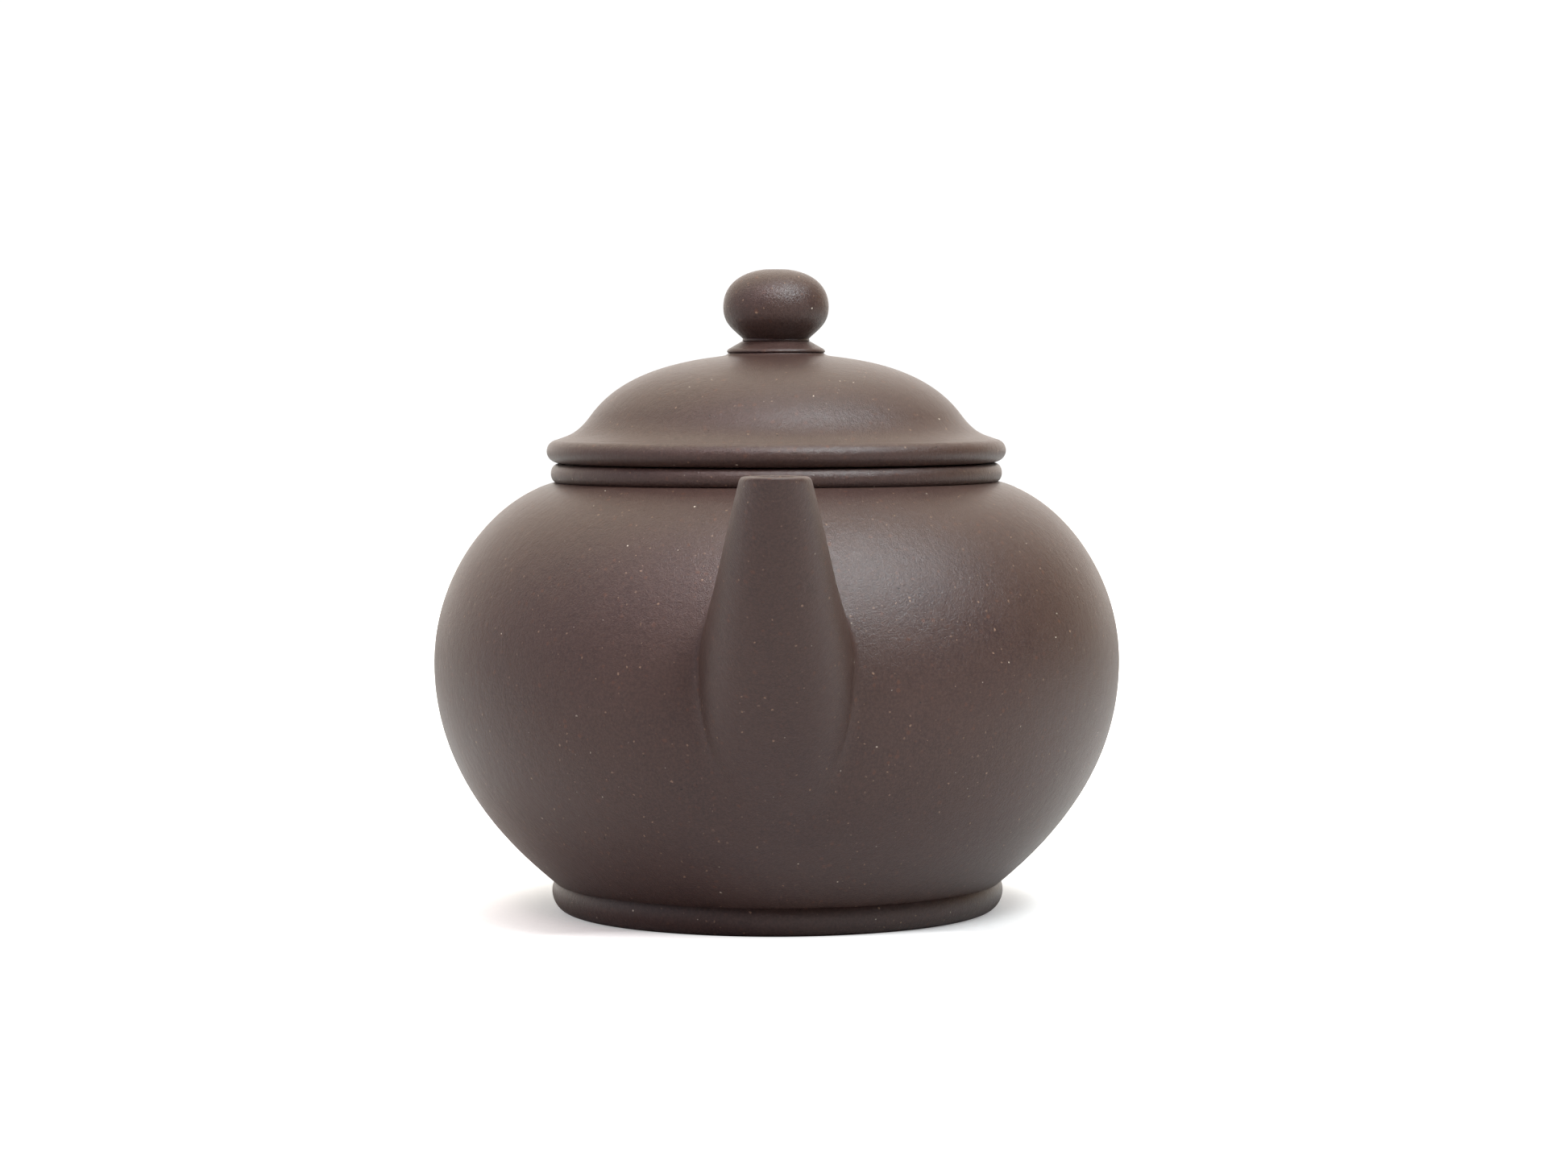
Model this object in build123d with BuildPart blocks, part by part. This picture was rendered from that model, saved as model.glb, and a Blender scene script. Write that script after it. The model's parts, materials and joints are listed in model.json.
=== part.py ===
from build123d import *
from math import cos, hypot, radians, sin
import os

# A small level-topped clay teapot, built from the clay pieces that a potter lutes together.
# Millimetres. The origin is the centre of the foot on the table, +Z is up,
# the spout points along -Y and the handle along +Y.

# ---------------------------------------------------------------- driving dimensions

belly_radius = 40.0  # widest circle of the body
belly_height = 29.0  # height of that circle above the table
body_wall = 2.6  # thickness of the body's clay

foot_height = 3.4
foot_radius = 26.1  # where the foot meets the belly
foot_rest_outer = 24.6  # flat ring that stands on the table
foot_rest_inner = 22.8
foot_bore = 22.1  # recess inside the foot
foot_bevel = 0.6

base_joint = foot_height + body_wall  # base disc below, belly wall above
shoulder_joint = 46.6  # belly wall below, shoulder disc above
seat_radius = 25.8
seat_height = 50.1  # flat on the shoulder that carries the mouth ring
mouth_radius = 22.5  # clear opening of the pot
mouth_height = 52.25  # top of the mouth ring, level with the spout and the handle
mouth_bevel = 0.5  # on the inner edge

lid_clearance = 0.1  # between the lid's rim and the mouth ring
flange_clearance = 0.3  # all round, between the lid's flange and the mouth
flange_depth = 7.8
flange_bevel = 0.6
lid_wall = 2.4
rim_bottom = mouth_height + lid_clearance
rim_top = rim_bottom + 2.7
rim_radius = 25.6  # where the rim's round edge meets the dome
dome_top_radius = 7.4
dome_top_height = 64.6
pad_base = 65.1
pad_radius = 5.55
knob_base = 66.45
knob_base_radius = 3.95
knob_radius = 6.15
knob_middle = 70.44  # height of the knob's widest circle
knob_top = 74.89
vent_radius = 1.0  # air hole through the knob, pad and dome

spout_half_widths = (7.9, 8.3, 8.3, 7.7, 6.6, 5.55, 4.45, 3.25)  # evenly spaced, root to tip
spout_lip_round = 0.3
channel_radii = (5.2, 4.6, 3.2, 1.95)  # evenly spaced, root to tip

handle_half_widths = (5.2, 4.55, 4.2, 4.15, 3.95, 3.65, 3.45, 3.6, 4.2)  # upper to lower joint
handle_half_depths = (4.8, 3.85, 3.45, 3.3, 3.1, 2.9, 2.75, 2.95, 3.6)

strainer_centre = (0.0, -37.2, 25.0)
strainer_axis = (0.0, 1.0, -0.1)  # the cap bulges into the pot
strainer_radius = 7.4
strainer_wall = 1.2
strainer_hole = 0.9
strainer_rings = ((0, 1), (30, 6), (58, 11))  # degrees from the cap's axis, holes in the ring

# ---------------------------------------------------------------- outlines


def curve(start, start_angle, start_pull, end, end_angle, end_pull):
    """Control points of a curve that leaves start and reaches end in the directions given."""
    leave = radians(start_angle)
    arrive = radians(end_angle)
    return [
        start,
        (start[0] + start_pull * cos(leave), start[1] + start_pull * sin(leave)),
        (end[0] - end_pull * cos(arrive), end[1] - end_pull * sin(arrive)),
        end,
    ]


def inset(points, gap):
    """The same curve moved to its left by gap, with its pulls shortened to suit."""
    start, start_pull, end_pull, end = points

    def shifted(point, ahead):
        length = hypot(*ahead)
        return (point[0] - gap * ahead[1] / length, point[1] + gap * ahead[0] / length)

    leave = (start_pull[0] - start[0], start_pull[1] - start[1])
    arrive = (end[0] - end_pull[0], end[1] - end_pull[1])
    new_start = shifted(start, leave)
    new_end = shifted(end, arrive)
    old_chord = hypot(end[0] - start[0], end[1] - start[1])
    shrink = hypot(new_end[0] - new_start[0], new_end[1] - new_start[1]) / old_chord
    return [
        new_start,
        (new_start[0] + shrink * leave[0], new_start[1] + shrink * leave[1]),
        (new_end[0] - shrink * arrive[0], new_end[1] - shrink * arrive[1]),
        new_end,
    ]


# Turned outlines are pairs of radius and height.
belly_middle = (belly_radius, belly_height)
belly_lower = curve((foot_radius, foot_height), 38.9, 11.2, belly_middle, 90, 10.0)
belly_upper = curve(belly_middle, 90, 10.6, (seat_radius, seat_height), 166.3, 7.5)
chamber_lower = inset(belly_lower, body_wall)
chamber_upper = inset(belly_upper, body_wall)
chamber_floor = chamber_lower[0][1]
chamber_top = chamber_upper[-1][1]

foot_bead = [(foot_rest_outer, 0), (26.2, 0.1), (26.9, 2.4), (foot_radius, foot_height)]
mouth_bead = [(seat_radius, seat_height), (26.5, 50.35), (26.6, 52.0), (25.55, mouth_height)]
rim_nose = [(25.5, rim_bottom), (27.2, 52.6), (27.25, 54.75), (rim_radius, rim_top)]

dome_top = (dome_top_radius, dome_top_height)
dome_shoulder = (21.6, 57.9)  # the round dome turns into the hollow cove here
dome_collar = [(pad_radius, pad_base), (5.7, 64.75), (6.4, 64.73), dome_top]
dome_curve = curve(dome_top, -7.2, 6.45, dome_shoulder, -54, 4.8)
cove_curve = curve(dome_shoulder, -54, 3.0, (rim_radius, rim_top), -23, 1.1)
dome_inside = inset(dome_curve, -lid_wall)
lid_bore = dome_inside[-1][0]  # inner radius of the dome's foot, the rim and the flange

pad_edge = [(pad_radius, pad_base), (5.75, 65.3), (5.7, 65.5), (5.35, 65.65)]
knob_side = (knob_radius, knob_middle)
knob_lower = curve((3.85, 66.75), 44.8, 1.5, knob_side, 90, 2.0)
knob_upper = curve(knob_side, 90, 2.5, (0, knob_top), 180, 4.2)

# Lines in the plane of symmetry are pairs of Y and Z.
spout_underside = [(-31.0, 9.2), (-42.2, 19.2), (-52.5, 36.2), (-61.6, 54.0)]
spout_topside = [(-28.0, 38.5), (-38.5, 39.5), (-46.0, 46.0), (-53.0, 54.0)]
channel_middle = [(-29.5, 18.5), (-39.0, 27.0), (-48.5, 39.5), (-57.3, 54.5)]

handle_top = (45.0, 48.75)
handle_back = (57.6, 37.0)
handle_rise = curve((30.5, 42.5), 42, 6.0, handle_top, 0, 5.5)
handle_turn = curve(handle_top, 0, 7.2, handle_back, -90, 6.2)
handle_return = curve(handle_back, -90, 11.0, (31.5, 13.5), 203, 11.0)

# ---------------------------------------------------------------- ways of making a solid


def turn(*outline):
    """Turn a closed outline about the pot's axis: corners are joined by lines, curves are kept."""
    runs = [run if isinstance(run, list) else [run] for run in outline]
    with BuildSketch(Plane.XZ) as profile:
        with BuildLine():
            for run, following in zip(runs, runs[1:] + runs[:1]):
                if len(run) > 1:
                    Bezier(*run)
                if run[-1] != following[0]:
                    Line(run[-1], following[0])
        make_face()
    revolve(profile.sketch, axis=Axis.Z)


def oval(across, half_width, half_depth):
    """An oval face on a plane, stretched from a circle so that its seam is always at +X."""
    with BuildSketch(across) as section:
        Circle(1)
        scale(by=(half_width, half_depth, 1))
    return section.sketch.face()


def tube(middle, half_widths, half_depths):
    """Loft ovals that stand square across a line, evenly spaced along it."""
    sections = []
    for step, (half_width, half_depth) in enumerate(zip(half_widths, half_depths)):
        position = step / (len(half_widths) - 1)
        across = Plane(origin=middle @ position, x_dir=(1, 0, 0), z_dir=middle % position)
        sections.append(oval(across, half_width, half_depth))
    loft(sections)


def horn(underside, topside, half_widths):
    """Loft ovals that reach from one line to the other, evenly spaced along them."""
    sections = []
    for step, half_width in enumerate(half_widths):
        position = step / (len(half_widths) - 1)
        low = underside @ position
        high = topside @ position
        facing = Vector(1, 0, 0).cross(high - low)
        across = Plane(origin=(low + high) / 2, x_dir=(1, 0, 0), z_dir=facing)
        sections.append(oval(across, half_width, (high - low).length / 2))
    loft(sections)


# ---------------------------------------------------------------- forms used only for cutting

with BuildPart() as belly_form:
    turn((0, foot_height), belly_lower, belly_upper, (0, seat_height))

with BuildPart() as chamber_form:
    turn((0, chamber_floor), chamber_lower, chamber_upper, (0, chamber_top))

with BuildLine(Plane.YZ) as channel_line:
    Bezier(*channel_middle)

with BuildPart() as channel_form:
    tube(channel_line.wire(), channel_radii, channel_radii)

# ---------------------------------------------------------------- the pot

with BuildPart() as foot_ring:
    turn((foot_rest_inner, 0), foot_bead, (foot_bore, foot_height), (foot_bore, foot_bevel))

with BuildPart() as base_disc:
    add(belly_form.part)
    split(bisect_by=Plane.XY.offset(base_joint), keep=Keep.BOTTOM)

with BuildPart() as belly_wall:
    add(belly_form.part)
    split(bisect_by=Plane.XY.offset(base_joint), keep=Keep.TOP)
    split(bisect_by=Plane.XY.offset(shoulder_joint), keep=Keep.BOTTOM)
    add(chamber_form.part, mode=Mode.SUBTRACT)
    add(channel_form.part, mode=Mode.SUBTRACT)

with BuildPart() as shoulder_disc:
    add(belly_form.part)
    split(bisect_by=Plane.XY.offset(shoulder_joint), keep=Keep.TOP)
    add(chamber_form.part, mode=Mode.SUBTRACT)
    with Locations((0, 0, seat_height)):
        Cylinder(mouth_radius, 3 * (seat_height - shoulder_joint), mode=Mode.SUBTRACT)

with BuildPart() as mouth_ring:
    turn(
        (mouth_radius, seat_height),
        mouth_bead,
        (mouth_radius + mouth_bevel, mouth_height),
        (mouth_radius, mouth_height - mouth_bevel),
    )

with BuildLine(Plane.YZ) as spout_low_line:
    Bezier(*spout_underside)

with BuildLine(Plane.YZ) as spout_high_line:
    Bezier(*spout_topside)

with BuildPart() as spout:
    horn(spout_low_line.wire(), spout_high_line.wire(), spout_half_widths)
    split(bisect_by=Plane.XY.offset(mouth_height), keep=Keep.BOTTOM)
    fillet(spout.faces().sort_by(Axis.Z)[-1].edges(), spout_lip_round)
    add(belly_form.part, mode=Mode.SUBTRACT)
    add(channel_form.part, mode=Mode.SUBTRACT)

strainer_plane = Plane(origin=strainer_centre, x_dir=(1, 0, 0), z_dir=strainer_axis)
with BuildPart() as strainer:
    with Locations(strainer_plane):
        Sphere(strainer_radius)
    add(chamber_form.part, mode=Mode.INTERSECT)
    with Locations(strainer_plane):
        Sphere(strainer_radius - strainer_wall, mode=Mode.SUBTRACT)
    for tilt, holes in strainer_rings:
        for hole in range(holes):
            aim = (0, tilt, 360 * (hole + 0.5) / holes)
            with Locations(strainer_plane.rotated(aim, ordering=Intrinsic.ZYX)):
                Cylinder(
                    strainer_hole,
                    2 * strainer_radius,
                    align=(Align.CENTER, Align.CENTER, Align.MIN),
                    mode=Mode.SUBTRACT,
                )

with BuildLine(Plane.YZ) as handle_line:
    Bezier(*handle_rise)
    Bezier(*handle_turn)
    Bezier(*handle_return)

with BuildPart() as handle:
    tube(handle_line.wire(), handle_half_widths, handle_half_depths)
    add(belly_form.part, mode=Mode.SUBTRACT)

# ---------------------------------------------------------------- the lid

flange_radius = mouth_radius - flange_clearance
flange_bottom = rim_bottom - flange_depth

with BuildPart() as lid_flange:
    turn(
        (lid_bore, rim_bottom),
        (lid_bore, flange_bottom + flange_bevel),
        (lid_bore + flange_bevel, flange_bottom),
        (flange_radius - flange_bevel, flange_bottom),
        (flange_radius, flange_bottom + flange_bevel),
        (flange_radius, rim_bottom),
    )

with BuildPart() as lid_rim:
    turn((lid_bore, rim_bottom), rim_nose, (lid_bore, rim_top))

with BuildPart() as lid_dome:
    turn(
        (vent_radius, pad_base),
        dome_collar,
        dome_curve,
        cove_curve,
        (lid_bore, rim_top),
        dome_inside[::-1],
        (vent_radius, dome_inside[0][1]),
    )

with BuildPart() as knob_pad:
    turn(
        (vent_radius, pad_base),
        pad_edge,
        (knob_base_radius, knob_base),
        (vent_radius, knob_base),
    )

with BuildPart() as knob:
    turn((0, knob_base), (knob_base_radius, knob_base), knob_lower, knob_upper)
    Cylinder(vent_radius, 3 * knob_top, mode=Mode.SUBTRACT)

# ---------------------------------------------------------------- labels and files

base_disc.part.label = "base_disc"
foot_ring.part.label = "foot_ring"
belly_wall.part.label = "belly_wall"
shoulder_disc.part.label = "shoulder_disc"
mouth_ring.part.label = "mouth_ring"
spout.part.label = "spout"
strainer.part.label = "strainer"
handle.part.label = "handle"
lid_flange.part.label = "lid_flange"
lid_rim.part.label = "lid_rim"
lid_dome.part.label = "lid_dome"
knob_pad.part.label = "knob_pad"
knob.part.label = "knob"

os.makedirs("parts", exist_ok=True)
export_step(base_disc.part, "parts/base_disc.step")
export_step(foot_ring.part, "parts/foot_ring.step")
export_step(belly_wall.part, "parts/belly_wall.step")
export_step(shoulder_disc.part, "parts/shoulder_disc.step")
export_step(mouth_ring.part, "parts/mouth_ring.step")
export_step(spout.part, "parts/spout.step")
export_step(strainer.part, "parts/strainer.step")
export_step(handle.part, "parts/handle.step")
export_step(lid_flange.part, "parts/lid_flange.step")
export_step(lid_rim.part, "parts/lid_rim.step")
export_step(lid_dome.part, "parts/lid_dome.step")
export_step(knob_pad.part, "parts/knob_pad.step")
export_step(knob.part, "parts/knob.step")
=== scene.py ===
import json
import math

import bmesh
import bpy
import numpy as np
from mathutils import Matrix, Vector, noise


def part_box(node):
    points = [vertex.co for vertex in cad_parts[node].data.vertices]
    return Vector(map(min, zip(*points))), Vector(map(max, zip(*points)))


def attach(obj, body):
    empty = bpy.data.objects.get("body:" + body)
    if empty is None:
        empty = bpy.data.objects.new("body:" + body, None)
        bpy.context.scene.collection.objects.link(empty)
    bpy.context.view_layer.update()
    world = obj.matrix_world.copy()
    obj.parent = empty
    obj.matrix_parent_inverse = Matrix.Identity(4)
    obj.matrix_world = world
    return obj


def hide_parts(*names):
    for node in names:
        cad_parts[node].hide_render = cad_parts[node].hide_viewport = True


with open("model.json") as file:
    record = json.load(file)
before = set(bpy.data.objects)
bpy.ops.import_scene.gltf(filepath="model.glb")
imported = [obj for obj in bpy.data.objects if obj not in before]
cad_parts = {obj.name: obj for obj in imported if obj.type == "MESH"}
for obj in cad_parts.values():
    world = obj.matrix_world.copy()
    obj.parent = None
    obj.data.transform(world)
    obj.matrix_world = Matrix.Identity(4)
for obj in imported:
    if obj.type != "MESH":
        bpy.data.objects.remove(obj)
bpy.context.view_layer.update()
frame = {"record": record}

# The clay surfaces of a small teapot, round the CAD frame that holds its size and joints.
# Outlines are written in millimetres, as a potter measures, and every mesh is scaled once.
MM = 0.001

# ---------------------------------------------------------------- heights given by the frame


def bottom_of(node):
    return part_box(node)[0].z / MM


def top_of(node):
    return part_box(node)[1].z / MM


foot_height = top_of("foot_ring")
base_joint = top_of("base_disc")
shoulder_joint = top_of("belly_wall")
seat_height = bottom_of("mouth_ring")
mouth_height = top_of("mouth_ring")
flange_bottom = bottom_of("lid_flange")
rim_bottom = bottom_of("lid_rim")
rim_top = top_of("lid_rim")
pad_base = bottom_of("knob_pad")
knob_base = bottom_of("knob")

# ---------------------------------------------------------------- radii and thicknesses

body_wall = 2.6
foot_rest_inner = 22.8
foot_bore = 22.1
foot_bevel = 0.6
base_hollow = 0.35  # the underside of the base is slightly domed
mouth_radius = 22.5
flange_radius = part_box("lid_flange")[1].x / MM
vent_radius = 1.0
vent_round = 0.45
lid_wall = 2.4
crease_round = 0.16  # where two pieces of clay meet in a fine line
edge_round = 0.5
joint_round = 0.04

# ---------------------------------------------------------------- outlines


def curve(start, start_angle, start_pull, end, end_angle, end_pull):
    """Control points of a curve that leaves start and reaches end in the directions given."""
    leave = math.radians(start_angle)
    arrive = math.radians(end_angle)
    return [
        start,
        (start[0] + start_pull * math.cos(leave), start[1] + start_pull * math.sin(leave)),
        (end[0] - end_pull * math.cos(arrive), end[1] - end_pull * math.sin(arrive)),
        end,
    ]


def inset(points, gap):
    """The same curve moved to its left by gap, with its pulls shortened to suit."""
    start, start_pull, end_pull, end = (np.array(point, float) for point in points)
    leave = start_pull - start
    arrive = end - end_pull
    new_start = start + gap * np.array((-leave[1], leave[0])) / np.linalg.norm(leave)
    new_end = end + gap * np.array((-arrive[1], arrive[0])) / np.linalg.norm(arrive)
    shrink = np.linalg.norm(new_end - new_start) / np.linalg.norm(end - start)
    return [new_start, new_start + shrink * leave, new_end - shrink * arrive, new_end]


def bezier(points, places):
    """Points of a cubic curve at places from 0 to 1."""
    a, b, c, d = (np.array(point, float) for point in points)
    t = np.asarray(places, float)[:, None]
    return a * (1 - t) ** 3 + b * 3 * t * (1 - t) ** 2 + c * 3 * t * t * (1 - t) + d * t**3


FINE = np.linspace(0, 1, 801)


def evenly(points, places, first=None, last=None, axis=1):
    """Points evenly spaced along a curve, or where one coordinate runs from first to last."""
    fine = bezier(points, FINE)
    steps = np.linalg.norm(np.diff(fine, axis=0), axis=1)
    lengths = np.concatenate([[0], np.cumsum(steps)])
    rising = np.sign(fine[-1, axis] - fine[0, axis])
    start, end = (
        given if value is None else np.interp(rising * value, rising * fine[:, axis], lengths)
        for value, given in ((first, 0), (last, lengths[-1]))
    )
    wanted = start + (end - start) * np.asarray(places, float)
    return np.stack([np.interp(wanted, lengths, fine[:, k]) for k in range(2)], axis=1)


def places(count, gather=0.06):
    """Places from 0 to 1, with one more close to each end, so that shading stays true there."""
    inner = np.linspace(0, 1, count + 1)
    return np.concatenate([[0, gather / count], inner[1:-1], [1 - gather / count, 1]])


belly_middle = (40.0, 29.0)
foot_joint = (26.1, foot_height)
seat_edge = (25.8, seat_height)
belly_lower = curve(foot_joint, 38.9, 11.2, belly_middle, 90, 10.0)
belly_upper = curve(belly_middle, 90, 10.6, seat_edge, 166.3, 7.5)
chamber_lower = inset(belly_lower, body_wall)
chamber_upper = inset(belly_upper, body_wall)
chamber_top = chamber_upper[-1][1]

foot_bead = [(24.6, 0), (26.2, 0.1), (26.9, 2.4), foot_joint]
mouth_bead = [seat_edge, (26.5, 50.35), (26.6, 52.0), (25.55, mouth_height)]
rim_nose = [(25.5, rim_bottom), (27.2, 52.6), (27.25, 54.75), (25.6, rim_top)]

dome_shoulder = (21.6, 57.9)
dome_top = (7.4, 64.6)
pad_corner = (5.55, pad_base)
dome_collar = [pad_corner, (5.7, 64.75), (6.4, 64.73), dome_top]
dome_curve = curve(dome_top, -7.2, 6.45, dome_shoulder, -54, 4.8)
cove_curve = curve(dome_shoulder, -54, 3.0, (25.6, rim_top), -23, 1.1)
dome_inside = inset(dome_curve, -lid_wall)
lid_bore = dome_inside[-1][0]

pad_edge = [pad_corner, (5.8, 65.14), (5.8, 65.46), (5.3, 65.68)]
knob_neck = (3.95, knob_base)
knob_side = (6.15, 70.44)
knob_lower = curve((3.85, 66.75), 44.8, 1.5, knob_side, 90, 2.0)
knob_upper = curve(knob_side, 90, 2.5, (0, 74.89), 180, 4.2)

# Lines in the plane of symmetry are pairs of Y and Z.
spout_underside = [(-31.0, 9.2), (-42.2, 19.2), (-52.5, 36.2), (-61.6, 54.0)]
spout_topside = [(-28.0, 38.5), (-38.5, 39.5), (-46.0, 46.0), (-53.0, 54.0)]
spout_half_widths = (7.9, 8.3, 8.3, 7.7, 6.6, 5.55, 4.45, 3.25)
spout_squareness = 0.22  # its underside is flatter than an oval, less so towards the tip
channel_middle = [(-29.5, 18.5), (-39.0, 27.0), (-48.5, 39.5), (-57.3, 54.5)]
channel_radii = (5.2, 4.6, 3.2, 1.95)
lip_round = 0.55

handle_top = (45.0, 48.75)
handle_back = (57.6, 37.0)
handle_lines = (
    curve((30.5, 42.5), 42, 6.0, handle_top, 0, 5.5),
    curve(handle_top, 0, 7.2, handle_back, -90, 6.2),
    curve(handle_back, -90, 11.0, (31.5, 13.5), 203, 11.0),
)
handle_half_widths = (5.2, 4.55, 4.2, 4.15, 3.95, 3.65, 3.45, 3.6, 4.2)
handle_half_depths = (4.8, 3.85, 3.45, 3.3, 3.1, 2.9, 2.75, 2.95, 3.6)

# ---------------------------------------------------------------- the touch of the hand


broad_stray = 0.055
broad_wave = 13.0
small_stray = 0.012
small_wave = 4.2
small_shift = Vector((7.3, 1.9, 4.4))  # so that the small wave doesn't follow the broad one
calm_reach = 4.0  # the strays grow over this height from the foot, and either way from the mouth

noise.seed_set(7)  # without this the noise starts from the clock, and each run makes another pot


def hand(points):
    """How far a hand-beaten wall strays from its true form, in millimetres, at points in the frame."""
    calm_top = np.abs(points[:, 2] - mouth_height) / calm_reach
    calm_foot = points[:, 2] / calm_reach
    calm = np.clip(np.minimum(calm_top, calm_foot), 0, 1)
    strays = [
        broad_stray * noise.noise_vector(Vector(point / broad_wave))
        + small_stray * noise.noise_vector(Vector(point / small_wave) + small_shift)
        for point in points
    ]
    return np.array(strays) * calm[:, None]


# ---------------------------------------------------------------- meshes from rings of points

bodies = frame["record"]["behaviour"]["bodies"]
body_of = {node: body for body, nodes in bodies.items() for node in nodes}
slot_of = {part["node"]: part["material_slot"] for part in frame["record"]["subparts"]}


def rings_to_faces(rings, around, closed):
    """Quads between each ring and the next, and from the last to the first if the section is closed."""
    faces = []
    for row in range(rings if closed else rings - 1):
        here = row * around
        there = (row + 1) % rings * around
        for column in range(around):
            beside = (column + 1) % around
            faces.append((here + column, here + beside, there + beside, there + column))
    return faces


def skin(name, rings, poles=()):
    """A closed mesh from rings of points. The rings run round a closed section, or end in two poles."""
    count, around, _ = rings.shape
    points = rings.reshape(-1, 3)
    faces = rings_to_faces(count, around, closed=not poles)
    for pole, ring in zip(poles, (0, count - 1)):
        points = np.vstack([points, pole])
        tip = len(points) - 1
        edge = ring * around
        faces += [(tip, edge + column, edge + (column + 1) % around) for column in range(around)]
    points = points + hand(points)
    mesh = bpy.data.meshes.new(name)
    mesh.from_pydata((points * MM).tolist(), [], faces)
    made = bmesh.new()
    made.from_mesh(mesh)
    bmesh.ops.recalc_face_normals(made, faces=made.faces)
    made.to_mesh(mesh)
    made.free()
    piece = bpy.data.objects.new(name, mesh)
    bpy.context.scene.collection.objects.link(piece)
    return piece


def shade(piece, sharp_angle=50):
    piece.data.shade_smooth()
    piece.data.set_sharp_from_angle(angle=math.radians(sharp_angle))


def corner(before, at, after, reach, steps=4):
    """Points that round a corner, from reach before it to reach after it."""
    at = np.array(at, float)
    arms = []
    for other in (before, after):
        away = np.array(other, float) - at
        length = np.linalg.norm(away)
        arms.append(at + away / length * min(reach, 0.48 * length))
    t = np.linspace(0, 1, steps + 1)[:, None]
    return arms[0] * (1 - t) ** 2 + at * 2 * t * (1 - t) + arms[1] * t * t


def closed_outline(*runs, step=1.3):
    """One closed outline from curves, as arrays, and corners, as radius, height and rounding."""
    ends = [(run[0], run[-1]) if isinstance(run, np.ndarray) else (run[:2], run[:2]) for run in runs]
    pieces = []
    for index, run in enumerate(runs):
        if isinstance(run, np.ndarray):
            pieces.append(run)
        else:
            before = ends[index - 1][1]
            after = ends[(index + 1) % len(runs)][0]
            pieces.append(corner(before, run[:2], after, run[2]))
    outline = np.vstack(pieces)
    apart = np.linalg.norm(outline - np.roll(outline, 1, axis=0), axis=1)
    outline = outline[apart > 1e-6]
    return subdivided(outline, step)


def subdivided(outline, step):
    """The closed outline with its long straight stretches cut into shorter ones."""
    points = []
    for start, end in zip(outline, np.roll(outline, -1, axis=0)):
        count = max(1, math.ceil(np.linalg.norm(end - start) / step))
        points += [start + (end - start) * k / count for k in range(count)]
    return np.array(points)


AROUND = 256


def turned_rings(outline):
    """Rings made by turning an outline of radius and height about the pot's axis."""
    angles = np.arange(AROUND) * math.tau / AROUND
    radius = outline[:, 0:1]
    height = np.repeat(outline[:, 1:2], AROUND, axis=1)
    return np.stack([radius * np.cos(angles), radius * np.sin(angles), height], axis=2)


def turned(name, outline):
    return skin(name, turned_rings(outline))


# ---------------------------------------------------------------- the belly's surface

belly_line = np.vstack([bezier(belly_lower, FINE[::4]), bezier(belly_upper, FINE[4::4])])
belly_along = np.gradient(belly_line, axis=0)
belly_along /= np.linalg.norm(belly_along, axis=1)[:, None]


def on_belly(points):
    """Distance outside the belly, nearest point on it and outward direction there, for each point."""
    radius = np.hypot(points[:, 0], points[:, 1])
    flat = np.stack([radius, points[:, 2]], axis=1)
    apart = flat[:, None, :] - belly_line[None, :, :]
    near = (apart[:, :, 0] ** 2 + apart[:, :, 1] ** 2).argmin(axis=1)
    along = belly_along[near]
    slide = ((flat - belly_line[near]) * along).sum(axis=1)
    foot = belly_line[near] + along * slide[:, None]
    outward = np.stack([along[:, 1], -along[:, 0]], axis=1)
    outside = ((flat - foot) * outward).sum(axis=1)
    facing = points[:, :2] / radius[:, None]
    nearest = np.column_stack([facing * foot[:, :1], foot[:, 1]])
    normal = np.column_stack([facing * outward[:, :1], outward[:, 1]])
    return outside, nearest, normal


def under_belly(points, depth):
    """The points moved to a depth below the belly's surface."""
    _, nearest, normal = on_belly(points)
    return nearest - normal * depth


def chained(curves, count=400):
    """Places and lengths along curves that follow each other, for even spacing along the whole."""
    fine = np.vstack([bezier(points, np.linspace(0, 1, count)) for points in curves])
    steps = np.linalg.norm(np.diff(fine, axis=0), axis=1)
    lengths = np.concatenate([[0], np.cumsum(steps)])
    return fine, lengths / lengths[-1]


def spaced(curves, fractions):
    """Points at fractions of the length of curves that follow each other."""
    fine, lengths = chained(curves)
    return np.stack([np.interp(fractions, lengths, fine[:, k]) for k in range(2)], axis=-1)


def smoothly(values, fractions):
    """A smooth run through values given evenly from 0 to 1."""
    values = np.array(values, float)
    slopes = np.gradient(values)
    spot = np.clip(fractions, 0, 1) * (len(values) - 1)
    low = np.clip(np.floor(spot).astype(int), 0, len(values) - 2)
    t = spot - low
    a, b, sa, sb = values[low], values[low + 1], slopes[low], slopes[low + 1]
    return (
        a * (1 + 2 * t) * (1 - t) ** 2
        + sa * t * (1 - t) ** 2
        + b * t * t * (3 - 2 * t)
        + sb * t * t * (t - 1)
    )


LIMB_AROUND = 144
limb_angles = np.arange(LIMB_AROUND) * math.tau / LIMB_AROUND
ALONG = np.linspace(0, 1, 401)


def spout_point(fraction, angle):
    """A point of the spout's skin, from inside the belly to the tip: angle 90 degrees is the top."""
    low = spaced([spout_underside], fraction)
    high = spaced([spout_topside], fraction)
    middle = (low + high) / 2
    reach = (high - low) / 2
    boxy = np.where(np.sin(angle) < 0, 1 - spout_squareness * (1 - fraction**2), 1.0)
    sideways = np.sign(np.cos(angle)) * np.abs(np.cos(angle)) ** boxy
    upwards = np.sign(np.sin(angle)) * np.abs(np.sin(angle)) ** boxy
    across = smoothly(spout_half_widths, fraction) * sideways
    return np.concatenate([across[..., None], middle + reach * upwards[..., None]], axis=-1)


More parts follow.
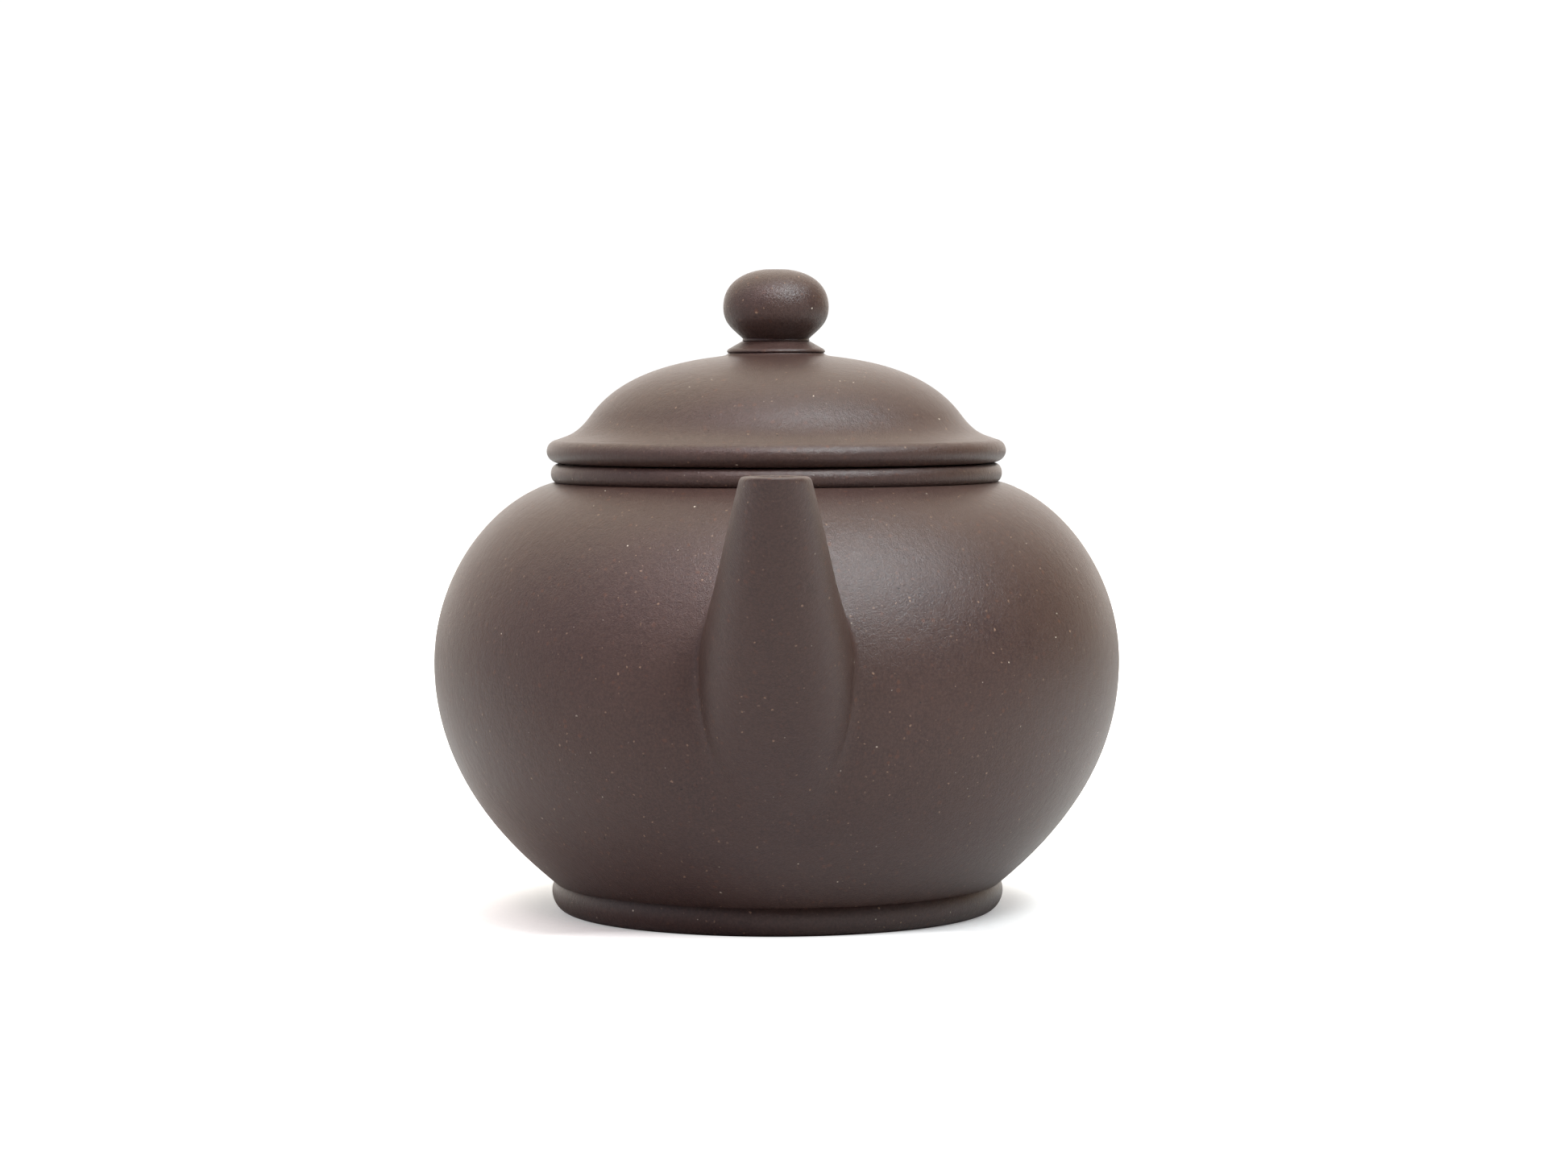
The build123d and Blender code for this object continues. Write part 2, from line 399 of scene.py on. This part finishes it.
def tube_point(curves, half_widths, half_depths):
    """A function giving points of a tube of ovals, square across a line in the plane of symmetry."""
    fine, lengths = chained(curves)
    heading = np.gradient(fine, axis=0)
    heading /= np.linalg.norm(heading, axis=1)[:, None]

    def point(fraction, angle):
        middle = np.stack([np.interp(fraction, lengths, fine[:, k]) for k in range(2)], axis=-1)
        ahead = np.stack([np.interp(fraction, lengths, heading[:, k]) for k in range(2)], axis=-1)
        ahead /= np.linalg.norm(ahead, axis=-1)[..., None]
        outward = np.stack([ahead[..., 1], -ahead[..., 0]], axis=-1)
        lift = outward * (smoothly(half_depths, fraction) * np.sin(angle))[..., None]
        across = smoothly(half_widths, fraction) * np.cos(angle)
        return np.concatenate([across[..., None], middle + lift], axis=-1)

    return point


def by_angle(top, side, bottom):
    """A size that eases between the top, the sides and the bottom of a limb."""
    lift = np.sin(limb_angles)
    return np.where(lift > 0, side + (top - side) * lift**6, side + (bottom - side) * lift**6)


def limb_lines(point, backwards=False):
    """For each angle, fine points along the limb from inside the belly outwards, and their lengths."""
    fractions = ALONG[::-1] if backwards else ALONG
    grid_f, grid_a = np.meshgrid(fractions, limb_angles, indexing="ij")
    lines = point(grid_f, grid_a)
    steps = np.linalg.norm(np.diff(lines, axis=0), axis=2)
    lengths = np.vstack([np.zeros(LIMB_AROUND), np.cumsum(steps, axis=0)])
    return fractions, lines, lengths


def root_rings(point, reach, spread, backwards=False, steps=14):
    """Rings that blend a limb into the belly, from under its surface outwards, and where they end.

    reach is how far out along the limb the blend starts, and spread how far it runs on over the belly.
    """
    heading_step = 0.3
    pull = 0.62
    hem = ((1.7, 0.45), (1.0, 0.12), (0.4, 0.015))  # how far past the blend, and how deep in the clay
    fractions, lines, lengths = limb_lines(point, backwards)
    starts = np.empty(LIMB_AROUND)
    crossing = np.empty((LIMB_AROUND, 3))
    begin = np.empty((LIMB_AROUND, 3))
    heading = np.empty((LIMB_AROUND, 3))
    for k in range(LIMB_AROUND):
        outside = on_belly(lines[: len(lines) // 2, k])[0]
        first = np.nonzero(outside[:-1] * outside[1:] <= 0)[0][-1]
        share = outside[first] / (outside[first] - outside[first + 1])
        at_cross = lengths[first, k] + share * (lengths[first + 1, k] - lengths[first, k])
        blend_start = at_cross + reach[k]
        for wanted, store in ((at_cross, crossing), (blend_start, begin)):
            store[k] = [np.interp(wanted, lengths[:, k], lines[:, k, axis]) for axis in range(3)]
        starts[k] = np.interp(blend_start, lengths[:, k], fractions)
        nearby = blend_start - heading_step
        nearer = [np.interp(nearby, lengths[:, k], lines[:, k, axis]) for axis in range(3)]
        heading[k] = (nearer - begin[k]) / np.linalg.norm(nearer - begin[k])
    _, crossing, normal = on_belly(crossing)
    along = np.roll(crossing, -1, axis=0) - np.roll(crossing, 1, axis=0)
    away = np.cross(normal, along)
    away /= np.linalg.norm(away, axis=1)[:, None]
    away *= np.sign(((crossing - crossing.mean(axis=0)) * away).sum(axis=1))[:, None]
    _, edge, edge_normal = on_belly(crossing + away * spread[:, None])
    leave = edge - crossing
    leave -= (leave * edge_normal).sum(axis=1)[:, None] * edge_normal
    leave /= np.linalg.norm(leave, axis=1)[:, None]
    controls = (
        edge,
        edge - leave * (pull * spread)[:, None],
        begin + heading * (pull * reach)[:, None],
        begin,
    )
    rings = [under_belly(edge + leave * run, depth) for run, depth in hem]
    for t in np.linspace(0, 1, steps + 1):
        a, b, c, d = controls
        rings.append(a * (1 - t) ** 3 + b * 3 * t * (1 - t) ** 2 + c * 3 * t * t * (1 - t) + d * t**3)
    return rings, starts


# ---------------------------------------------------------------- the pot


def foot():
    outline = closed_outline(
        (foot_rest_inner, 0, 0.15),
        evenly(foot_bead, places(14)),
        (foot_bore, foot_height, joint_round),
        (foot_bore, foot_bevel, 0.3),
    )
    return turned("foot_ring_clay", outline)


def base():
    """The disc under the pot, seen inside the foot and as the floor of the chamber."""
    rise = np.linspace(0, 1, 18)[1:]
    under = np.stack([foot_bore * rise, foot_height + base_hollow * (1 - rise**2)], axis=1)
    outer = evenly(belly_lower, places(4), last=base_joint)
    floor_radius = np.linspace(outer[-1][0], 0, 22)[:-1]
    floor = np.stack([floor_radius, np.full(len(floor_radius), base_joint)], axis=1)
    outline = np.vstack([under, [[24.0, foot_height]], outer, floor[1:]])
    poles = ((0, 0, foot_height + base_hollow), (0, 0, base_joint))
    return skin("base_disc_clay", turned_rings(outline), poles)


def belly():
    """The round wall, with the seam that its maker leaves inside, under the handle."""
    outer = np.vstack(
        [
            evenly(belly_lower, places(34), first=base_joint),
            evenly(belly_upper, places(34), last=shoulder_joint)[1:],
        ]
    )
    inner = np.vstack(
        [
            evenly(chamber_upper, places(22), last=shoulder_joint)[::-1],
            evenly(chamber_lower, places(22), first=base_joint)[::-1][1:],
        ]
    )
    rings = turned_rings(np.vstack([outer, inner]))
    seam_height = 0.3
    seam_half_width = 1.5
    for row in range(len(outer), len(rings)):
        ring = rings[row]
        radius = np.hypot(ring[:, 0], ring[:, 1])
        off_seam = np.where(ring[:, 1] > 0, ring[:, 0], radius) / seam_half_width
        ring[:, :2] *= (1 - seam_height * np.exp(-(off_seam**2)) / radius)[:, None]
    return skin("belly_wall_clay", rings)


def shoulder():
    """The disc that closes the body in: its outer skin runs on from the belly's."""
    outer = evenly(belly_upper, places(10), first=shoulder_joint)
    inner = evenly(chamber_upper, places(4), first=shoulder_joint)[::-1]
    outline = closed_outline(
        outer,
        (mouth_radius, seat_height, joint_round),
        (mouth_radius, chamber_top, edge_round),
        inner,
    )
    return turned("shoulder_disc_clay", outline)


def mouth():
    outline = closed_outline(
        (mouth_radius, seat_height, joint_round),
        evenly(mouth_bead, places(14)),
        (mouth_radius, mouth_height, 0.6),
    )
    return turned("mouth_ring_clay", outline)


def rounded_edge(before, at, after, steps=5):
    """Rings that round the edge between two others, leaving out the first of those but not the last."""
    places_across = np.linspace(0, 1, steps + 1)[1:]
    return [before * (1 - t) ** 2 + at * 2 * t * (1 - t) + after * t * t for t in places_across]


def fractions_at(values, wanted, fractions):
    """For each angle, the fraction along the limb where a rising value reaches the wanted one."""
    return np.array([np.interp(wanted, values[:, k], fractions) for k in range(LIMB_AROUND)])


channel_point = tube_point([channel_middle], channel_radii, channel_radii)


def spout():
    """A nearly straight spout, level at the lip, whose root runs softly into the belly."""
    reach = by_angle(top=3.2, side=1.5, bottom=4.0)
    spread = by_angle(top=2.4, side=1.1, bottom=2.6)
    rings, starts = root_rings(spout_point, reach, spread)
    fractions, lines, _ = limb_lines(spout_point)
    lip_start = fractions_at(lines[:, :, 2], mouth_height - lip_round, fractions)
    for t in np.linspace(0, 1, 41)[1:]:
        rings.append(spout_point(starts + (lip_start - starts) * t, limb_angles))
    outer_edge = spout_point(fractions_at(lines[:, :, 2], mouth_height, fractions), limb_angles)

    _, bore, _ = limb_lines(channel_point)
    inner_edge = channel_point(fractions_at(bore[:, :, 2], mouth_height, fractions), limb_angles)
    bore_start = fractions_at(bore[:, :, 2], mouth_height - lip_round, fractions)
    inward = inner_edge - outer_edge
    inward /= np.linalg.norm(inward, axis=1)[:, None]
    rings += rounded_edge(rings[-1], outer_edge, outer_edge + inward * lip_round)
    rings.append(inner_edge - inward * lip_round)
    rings += rounded_edge(rings[-1], inner_edge, channel_point(bore_start, limb_angles))

    back_depth = 0.45
    outside = np.stack([on_belly(bore[:, k])[0] for k in range(LIMB_AROUND)], axis=1)
    bore_end = fractions_at(outside, -back_depth, fractions)
    for t in np.linspace(0, 1, 31)[1:]:
        rings.append(channel_point(bore_start + (bore_end - bore_start) * t, limb_angles))
    hole, hem = rings[-1], rings[0]
    for t in (0.25, 0.5, 0.75):
        rings.append(under_belly(hole + (hem - hole) * t, back_depth))
    return skin("spout_clay", np.array(rings))


def handle():
    """The ear-shaped handle: angle 90 degrees is the side that the finger feels."""
    point = tube_point(handle_lines, handle_half_widths, handle_half_depths)
    upper, start = root_rings(
        point,
        reach=by_angle(top=4.0, side=3.4, bottom=3.6),
        spread=by_angle(top=3.0, side=2.6, bottom=1.8),
    )
    lower, end = root_rings(
        point,
        reach=by_angle(top=3.4, side=3.0, bottom=3.4),
        spread=by_angle(top=2.6, side=2.2, bottom=2.4),
        backwards=True,
    )
    middle = [point(start + (end - start) * t, limb_angles) for t in np.linspace(0, 1, 101)[1:-1]]
    rings = np.array(upper + middle + lower[::-1])
    pole_depth = 1.5
    poles = [under_belly(ring.mean(axis=0)[None], pole_depth)[0] for ring in (rings[0], rings[-1])]
    return skin("handle_clay", rings, poles)


def cut(piece, cutter):
    """Takes the cutter's form out of a piece, and the cutter out of the scene."""
    modifier = piece.modifiers.new("cut", "BOOLEAN")
    modifier.operation = "DIFFERENCE"
    modifier.solver = "EXACT"
    modifier.object = cutter
    evaluated = piece.evaluated_get(bpy.context.evaluated_depsgraph_get())
    mesh = bpy.data.meshes.new_from_object(evaluated)
    mesh.name = piece.name
    piece.modifiers.clear()
    piece.data = mesh
    bpy.data.objects.remove(cutter)


def channel_cutter():
    """The form of the channel where it passes through the belly's wall."""
    past_the_wall = 0.62
    along = np.linspace(0, past_the_wall, 24)
    rings = [channel_point(np.full(LIMB_AROUND, t), limb_angles) for t in along]
    poles = [ring.mean(axis=0) for ring in (rings[0], rings[-1])]
    return skin("channel_cutter", np.array(rings), poles)


strainer_centre = np.array((0, -37.2, 25.0))
strainer_axis = np.array((0, 1.0, -0.1)) / math.hypot(1.0, 0.1)
strainer_radius = 7.4
strainer_wall = 1.2
strainer_hole = 0.9
strainer_rings = ((0, 1), (30, 6), (58, 11))  # degrees from its axis, and holes in the ring
hole_span = (-3.0, 1.5)  # a hole's cutter runs from below the wall to above it


def aimed(tilt, spin):
    """A direction from the strainer's centre, tilted from its axis and spun about it."""
    up = np.cross((1, 0, 0), strainer_axis)
    sideways = np.array((1.0, 0, 0)) * np.cos(spin)[..., None] + up * np.sin(spin)[..., None]
    return strainer_axis * np.cos(tilt) + sideways * np.sin(tilt)


def strainer():
    """The pierced dome over the spout's root, its edge pressed into the wall.

    It has 18 holes. The CAD solid was to have the same ones, but has 8, in other places.
    """
    spin = np.arange(120) * math.tau / 120
    tilts = np.radians(np.linspace(3, 97, 26))
    hollow = strainer_radius - strainer_wall
    outer = [strainer_centre + strainer_radius * aimed(tilt, spin) for tilt in tilts]
    inner = [strainer_centre + hollow * aimed(tilt, spin) for tilt in tilts[::-1]]
    poles = [strainer_centre + strainer_axis * radius for radius in (strainer_radius, hollow)]
    piece = skin("strainer_clay", np.array(outer + inner), poles)
    around = np.arange(20) * math.tau / 20
    for tilt, holes in strainer_rings:
        for hole in range(holes):
            aim = aimed(math.radians(tilt), np.array(math.tau * (hole + 0.5) / holes))
            side = np.cross(aim, (0.3, 0.2, 1.0))
            side /= np.linalg.norm(side)
            turned_side = np.cross(aim, side)
            spokes = np.outer(np.cos(around), side) + np.outer(np.sin(around), turned_side)
            circle = strainer_hole * spokes
            ends = [strainer_centre + aim * (strainer_radius + offset) for offset in hole_span]
            cut(piece, skin("hole_cutter", np.array([end + circle for end in ends]), ends))
    return piece


# ---------------------------------------------------------------- the lid


def flange():
    outline = closed_outline(
        (lid_bore, rim_bottom, joint_round),
        (lid_bore, flange_bottom, edge_round),
        (flange_radius, flange_bottom, edge_round),
        (flange_radius, rim_bottom, joint_round),
    )
    return turned("lid_flange_clay", outline)


def rim():
    outline = closed_outline(
        (lid_bore, rim_bottom, joint_round),
        evenly(rim_nose, places(16)),
        (lid_bore, rim_top, joint_round),
    )
    return turned("lid_rim_clay", outline)


def dome():
    outline = closed_outline(
        (vent_radius, pad_base, joint_round),
        evenly(dome_collar, places(8)),
        evenly(dome_curve, places(26)),
        evenly(cove_curve, places(10)),
        (lid_bore, rim_top, joint_round),
        evenly(dome_inside, places(18))[::-1],
        (vent_radius, dome_inside[0][1], edge_round),
    )
    return turned("lid_dome_clay", outline)


def pad():
    outline = closed_outline(
        (vent_radius, pad_base, joint_round),
        evenly(pad_edge, places(8)),
        (*knob_neck, crease_round),
        (vent_radius, knob_base, joint_round),
        step=0.6,
    )
    return turned("knob_pad_clay", outline)


def knob():
    crown = evenly(knob_upper, places(18), last=vent_radius + vent_round, axis=0)
    outline = closed_outline(
        (vent_radius, knob_base, joint_round),
        (*knob_neck, crease_round),
        evenly(knob_lower, places(12)),
        crown,
        (vent_radius, crown[-1][1], vent_round),
        step=0.6,
    )
    return turned("knob_clay", outline)


# ---------------------------------------------------------------- the clay


class Nodes:
    """Short ways to add shader nodes to one material."""

    def __init__(self, name):
        self.material = bpy.data.materials.new(name)
        self.material.use_nodes = True
        self.tree = self.material.node_tree
        self.tree.nodes.clear()

    def add(self, kind, settings=None, **inputs):
        made = self.tree.nodes.new(kind)
        for key, value in (settings or {}).items():
            setattr(made, key, value)
        for key, value in inputs.items():
            self.put(made, key.replace("_", " "), value)
        return made

    def put(self, made, key, value):
        socket = made.inputs[key]
        if isinstance(value, bpy.types.NodeSocket):
            self.tree.links.new(value, socket)
        else:
            socket.default_value = value

    def math(self, operation, *values):
        made = self.tree.nodes.new("ShaderNodeMath")
        made.operation = operation
        for index, value in enumerate(values):
            self.put(made, index, value)
        return made.outputs[0]

    def noise(self, vector, scale, detail=2.0, roughness=0.5):
        given = {"Vector": vector, "Scale": scale, "Detail": detail, "Roughness": roughness}
        return self.add("ShaderNodeTexNoise", **given).outputs["Fac"]

    def spread(self, value, low, high, to_low=0.0, to_high=1.0):
        made = self.tree.nodes.new("ShaderNodeMapRange")
        made.interpolation_type = "SMOOTHSTEP"
        for index, entry in enumerate((value, low, high, to_low, to_high)):
            self.put(made, index, entry)
        return made.outputs[0]

    def blend(self, amount, first, second):
        made = self.tree.nodes.new("ShaderNodeMix")
        made.data_type = "RGBA"
        for index, entry in ((0, amount), (6, first), (7, second)):
            self.put(made, index, entry)
        return made.outputs[2]

    def specks(self, vector, scale, share, size):
        """Grains scattered one to a cell: a share of the cells has one, of about that size in cells."""
        made = self.add("ShaderNodeTexVoronoi", Vector=vector, Scale=scale, Randomness=1.0)
        drawn = self.add("ShaderNodeSeparateColor", Color=made.outputs["Color"])
        kept = self.math("GREATER_THAN", drawn.outputs["Red"], 1.0 - share)
        radius = self.spread(drawn.outputs["Green"], 0.0, 1.0, 0.45 * size, size)
        inside = self.spread(self.math("DIVIDE", made.outputs["Distance"], radius), 1.0, 0.55)
        grains = self.math("MULTIPLY", kept, inside)
        strength = self.spread(drawn.outputs["Blue"], 0.0, 1.0, 0.35, 1.0)
        return self.math("MULTIPLY", grains, strength)


def clay(name, seed):
    """Fired purple-brown clay: ground grains of ore in a fine satin body, smoothed by hand."""
    n = Nodes(name)
    place = n.add("ShaderNodeTexCoord").outputs["Object"]
    in_mm = n.add("ShaderNodeVectorMath", {"operation": "SCALE"}, Scale=1 / MM)
    n.put(in_mm, 0, place)
    shifted = n.add("ShaderNodeVectorMath", {"operation": "ADD"})
    n.put(shifted, 0, in_mm.outputs[0])
    n.put(shifted, 1, seed)
    at = shifted.outputs[0]
    wobble = n.add("ShaderNodeTexNoise", Vector=at, Scale=2.0, Detail=2.0)
    wobbled = n.add("ShaderNodeVectorMath", {"operation": "MULTIPLY_ADD"})
    n.put(wobbled, 0, wobble.outputs["Color"])
    n.put(wobbled, 1, (0.45, 0.45, 0.45))
    n.put(wobbled, 2, at)
    uneven = wobbled.outputs[0]

    drift = n.noise(at, 0.045, detail=3.0)
    cloud = n.noise(at, 0.3, detail=5.0, roughness=0.6)
    grain = n.noise(at, 3.2, detail=4.0, roughness=0.7)
    stroke_way = n.add("ShaderNodeMapping", Vector=at, Scale=(1.0, 1.0, 0.8), Rotation=(0.3, 0.4, 0.0))
    stroke = n.noise(stroke_way.outputs[0], 1.0, detail=2.0, roughness=0.5)

    dark_body = (0.047, 0.0262, 0.0238, 1)
    light_body = (0.054, 0.0305, 0.0258, 1)
    colour = n.blend(n.spread(drift, 0.35, 0.65), dark_body, light_body)
    colour = n.blend(n.spread(cloud, 0.3, 0.7, 0.0, 0.6), colour, (0.066, 0.037, 0.030, 1))
    colour = n.blend(n.spread(grain, 0.35, 0.68), colour, (0.080, 0.047, 0.038, 1))
    rust = n.specks(uneven, 1.1, share=0.4, size=0.36)
    colour = n.blend(n.math("MULTIPLY", rust, 0.34), colour, (0.17, 0.068, 0.038, 1))
    sand = n.specks(uneven, 1.2, share=0.4, size=0.2)
    colour = n.blend(n.math("MULTIPLY", sand, 0.75), colour, (0.33, 0.21, 0.14, 1))
    quartz = n.specks(uneven, 0.7, share=0.26, size=0.1)
    colour = n.blend(quartz, colour, (0.75, 0.66, 0.54, 1))
    # Pits: tiny hollows, pressed in by the bump below; their near-black colour is painted shade,
    # standing for the shade inside each hollow.
    pits_and_painted_shade = n.specks(uneven, 0.5, share=0.4, size=0.07)
    colour = n.blend(n.math("MULTIPLY", pits_and_painted_shade, 0.8), colour, (0.012, 0.009, 0.008, 1))

    fine = n.noise(at, 7.0, detail=2.0, roughness=0.7)
    height = n.math("MULTIPLY", grain, 0.055)
    height = n.math("MULTIPLY_ADD", fine, 0.05, height)
    height = n.math("MULTIPLY_ADD", stroke, 0.06, height)
    height = n.math("MULTIPLY_ADD", pits_and_painted_shade, -0.08, height)
    height = n.math("MULTIPLY_ADD", sand, 0.012, height)
    bump = n.add("ShaderNodeBump", Strength=1.0, Distance=MM, Height=height)

    rough = n.math("MULTIPLY_ADD", cloud, 0.08, 0.25)
    rough = n.math("MULTIPLY_ADD", grain, 0.1, rough)
    normal = bump.outputs[0]
    surface = n.add("ShaderNodeBsdfPrincipled", Base_Color=colour, Roughness=rough, Normal=normal)
    surface.inputs["IOR"].default_value = 1.5
    n.add("ShaderNodeOutputMaterial", Surface=surface.outputs[0])
    return n.material


# ---------------------------------------------------------------- pieces on their bodies

pieces = {
    "foot_ring": foot(),
    "base_disc": base(),
    "belly_wall": belly(),
    "shoulder_disc": shoulder(),
    "mouth_ring": mouth(),
    "spout": spout(),
    "strainer": strainer(),
    "handle": handle(),
    "lid_flange": flange(),
    "lid_rim": rim(),
    "lid_dome": dome(),
    "knob_pad": pad(),
    "knob": knob(),
}
cut(pieces["belly_wall"], channel_cutter())

clays = {"clay": clay("pot_clay", (0.0, 0.0, 0.0)), "lid_clay": clay("lid_clay", (31.0, 17.0, 5.0))}
for node, piece in pieces.items():
    shade(piece)
    piece.data.materials.clear()
    piece.data.materials.append(clays[slot_of[node]])
    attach(piece, body_of[node])
    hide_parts(node)

# ---------------------------------------------------------------- table, light and camera


def table_top():
    """A white card that glows to the eye, but less near the foot, where the pot's shadow is seen."""
    half = 1.6
    level = -0.00002  # just under the foot, so that the two faces don't lie in one plane
    corners = [(-half, -half, level), (half, -half, level), (half, half, level), (-half, half, level)]
    mesh = bpy.data.meshes.new("table_top")
    mesh.from_pydata(corners, [], [(0, 1, 2, 3)])
    top = bpy.data.objects.new("table_top", mesh)
    bpy.context.scene.collection.objects.link(top)
    n = Nodes("white_card")
    at = n.add("ShaderNodeTexCoord").outputs["Object"]
    tooth = n.noise(at, 900.0, detail=3.0)
    bump = n.add("ShaderNodeBump", Strength=0.5, Distance=0.0002, Height=tooth)
    parts = n.add("ShaderNodeSeparateXYZ", Vector=at)
    behind = n.spread(parts.outputs["Y"], -0.06, 0.04)
    colour = n.blend(behind, (0.52, 0.475, 0.47, 1), (0.82, 0.82, 0.81, 1))
    colour = n.blend(n.spread(tooth, 0.35, 0.65, 0.1, 0.0), colour, (0.2, 0.2, 0.2, 1))
    normal = bump.outputs[0]
    surface = n.add("ShaderNodeBsdfPrincipled", Base_Color=colour, Roughness=0.75, Normal=normal)
    away = n.add("ShaderNodeVectorMath", {"operation": "LENGTH"}, Vector=at)
    open_floor = n.spread(away.outputs["Value"], 0.026, 0.048, 0.35, 1.0)
    in_front = n.spread(parts.outputs["Y"], -0.012, -0.03, 0.0, 1.0)
    strength = n.math("MAXIMUM", open_floor, in_front)
    glow = n.add("ShaderNodeEmission", Color=(1, 1, 1, 1), Strength=strength)
    unlit = n.add("ShaderNodeMixShader")
    n.put(unlit, 0, n.add("ShaderNodeLightPath").outputs["Is Camera Ray"])
    n.put(unlit, 2, glow.outputs[0])
    both = n.add("ShaderNodeAddShader")
    n.put(both, 0, surface.outputs[0])
    n.put(both, 1, unlit.outputs[0])
    n.add("ShaderNodeOutputMaterial", Surface=both.outputs[0])
    mesh.materials.append(n.material)


def surroundings():
    """White to the eye, but as light on the pot, bright walls behind it and a dim one on its left."""
    world = bpy.data.worlds.new("tent")
    bpy.context.scene.world = world
    world.use_nodes = True
    tree = world.node_tree
    tree.nodes.clear()
    direction = tree.nodes.new("ShaderNodeTexCoord")
    parts = tree.nodes.new("ShaderNodeSeparateXYZ")
    tree.links.new(direction.outputs["Generated"], parts.inputs[0])
    walls = (
        ("Y", 0.0, 0.8, (0.58, 0.38, 0.19)),
        ("Y", 0.6, 0.95, (1.08, 1.18, 1.26)),
        ("X", -0.5, -0.8, (0.48, 0.52, 0.60)),
    )
    lit = None
    for axis, dark, bright, colour in walls:
        fall = tree.nodes.new("ShaderNodeMapRange")
        fall.interpolation_type = "SMOOTHSTEP"
        fall.inputs[1].default_value = dark
        fall.inputs[2].default_value = bright
        tree.links.new(parts.outputs[axis], fall.inputs[0])
        wall = tree.nodes.new("ShaderNodeBackground")
        wall.inputs["Color"].default_value = (*colour, 1)
        tree.links.new(fall.outputs[0], wall.inputs["Strength"])
        if lit is None:
            lit = wall.outputs[0]
        else:
            both = tree.nodes.new("ShaderNodeAddShader")
            tree.links.new(lit, both.inputs[0])
            tree.links.new(wall.outputs[0], both.inputs[1])
            lit = both.outputs[0]
    seen = tree.nodes.new("ShaderNodeBackground")
    seen.inputs["Strength"].default_value = 1.05
    seen.inputs["Color"].default_value = (1, 1, 1, 1)
    ray = tree.nodes.new("ShaderNodeLightPath")
    either = tree.nodes.new("ShaderNodeMixShader")
    tree.links.new(ray.outputs["Is Camera Ray"], either.inputs[0])
    tree.links.new(lit, either.inputs[1])
    tree.links.new(seen.outputs[0], either.inputs[2])
    output = tree.nodes.new("ShaderNodeOutputWorld")
    tree.links.new(either.outputs[0], output.inputs["Surface"])


softbox_distance = 0.8
softbox_target = Vector((0, 0, 0.035))  # the middle of the pot


def softbox(name, bearing, climb, size, power, colour):
    """A square light facing the pot, from bearing degrees right of the front and climb above level."""
    right = math.radians(bearing)
    up = math.radians(climb)
    away = Vector((math.sin(right) * math.cos(up), -math.cos(right) * math.cos(up), math.sin(up)))
    light = bpy.data.lights.new(name, "AREA")
    light.shape = "SQUARE"
    light.size = size
    light.energy = power
    light.color = colour
    lamp = bpy.data.objects.new(name, light)
    bpy.context.scene.collection.objects.link(lamp)
    lamp.location = softbox_target + away * softbox_distance
    lamp.rotation_euler = (-away).to_track_quat("-Z", "Y").to_euler()


def camera():
    """Level with the lid, 0.47 m in front of the pot's axis."""
    data = bpy.data.cameras.new("camera")
    data.sensor_width = 36.0
    data.lens = 92.1
    data.clip_start = 0.01
    view = bpy.data.objects.new("camera", data)
    bpy.context.scene.collection.objects.link(view)
    view.location = (0.00086, -0.469, 0.0639)
    tilt_down = 3.21
    roll = -0.14
    view.rotation_mode = "XYZ"
    view.rotation_euler = (math.radians(90 - tilt_down), 0, 0)
    view.rotation_euler.rotate_axis("Z", math.radians(roll))
    bpy.context.scene.camera = view


table_top()
surroundings()
softbox("key_softbox", 36.5, 52.5, 0.21, 6.3, (0.90, 0.98, 1.00))
softbox("right_softbox", 58, 46, 0.30, 1.05, (0.72, 0.86, 1.00))
softbox("left_softbox", -28, 50, 0.24, 2.45, (1.00, 0.80, 0.84))
softbox("front_softbox", 0, 70, 0.40, 1.35, (1.00, 1.00, 1.00))
softbox("right_back_softbox", 120, 50, 0.40, 0.5, (1.00, 1.00, 0.95))
softbox("left_back_softbox", -120, 50, 0.40, 0.9, (1.00, 1.00, 0.86))
softbox("top_softbox", 180, 60, 0.50, 1.3, (1.00, 1.00, 0.88))
camera()
bpy.context.scene.view_settings.view_transform = "Standard"
